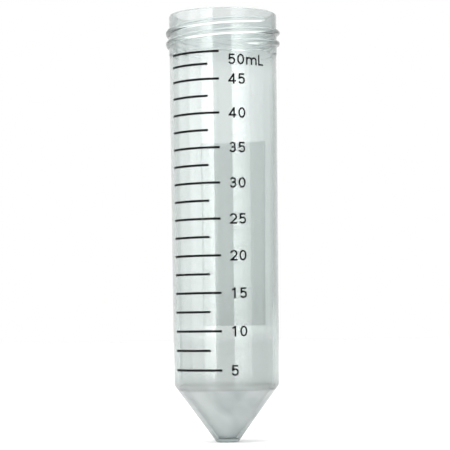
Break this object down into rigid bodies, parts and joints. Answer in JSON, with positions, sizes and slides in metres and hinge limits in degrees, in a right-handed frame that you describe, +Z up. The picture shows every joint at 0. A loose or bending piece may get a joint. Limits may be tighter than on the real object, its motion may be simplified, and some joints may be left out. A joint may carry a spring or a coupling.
{
  "type": "conical-bottom test tube",
  "caption": "Open translucent plastic test tube with a conical bottom, a screw-thread neck, a printed volume scale with numbers, and a white writing patch on its back.",
  "frame": {"origin": "centre of the flat tip at the bottom of the cone, on the tube's axis", "axes": "+Z up along the tube's axis to the mouth; the printed scale faces -Y and the writing patch faces +Y"},
  "size_m": [0.0306, 0.0306, 0.1145],
  "materials": {
    "polypropylene": "translucent moulded polypropylene, smooth and slightly cloudy",
    "black_ink": "pad-printed black ink",
    "white_ink": "screen-printed white ink"
  },
  "bodies": {
    "root": {"tube_body": "polypropylene", "writing_patch": "white_ink", "mark_05_0_ml": "black_ink", "mark_07_5_ml": "black_ink", "mark_10_0_ml": "black_ink", "mark_12_5_ml": "black_ink", "mark_15_0_ml": "black_ink", "mark_17_5_ml": "black_ink", "mark_20_0_ml": "black_ink", "mark_22_5_ml": "black_ink", "mark_25_0_ml": "black_ink", "mark_27_5_ml": "black_ink", "mark_30_0_ml": "black_ink", "mark_32_5_ml": "black_ink", "mark_35_0_ml": "black_ink", "mark_37_5_ml": "black_ink", "mark_40_0_ml": "black_ink", "mark_42_5_ml": "black_ink", "mark_45_0_ml": "black_ink", "mark_47_5_ml": "black_ink", "mark_50_0_ml": "black_ink", "number_05_ml": "black_ink", "number_10_ml": "black_ink", "number_15_ml": "black_ink", "number_20_ml": "black_ink", "number_25_ml": "black_ink", "number_30_ml": "black_ink", "number_35_ml": "black_ink", "number_40_ml": "black_ink", "number_45_ml": "black_ink", "number_50_ml": "black_ink"}
  },
  "joints": []
}
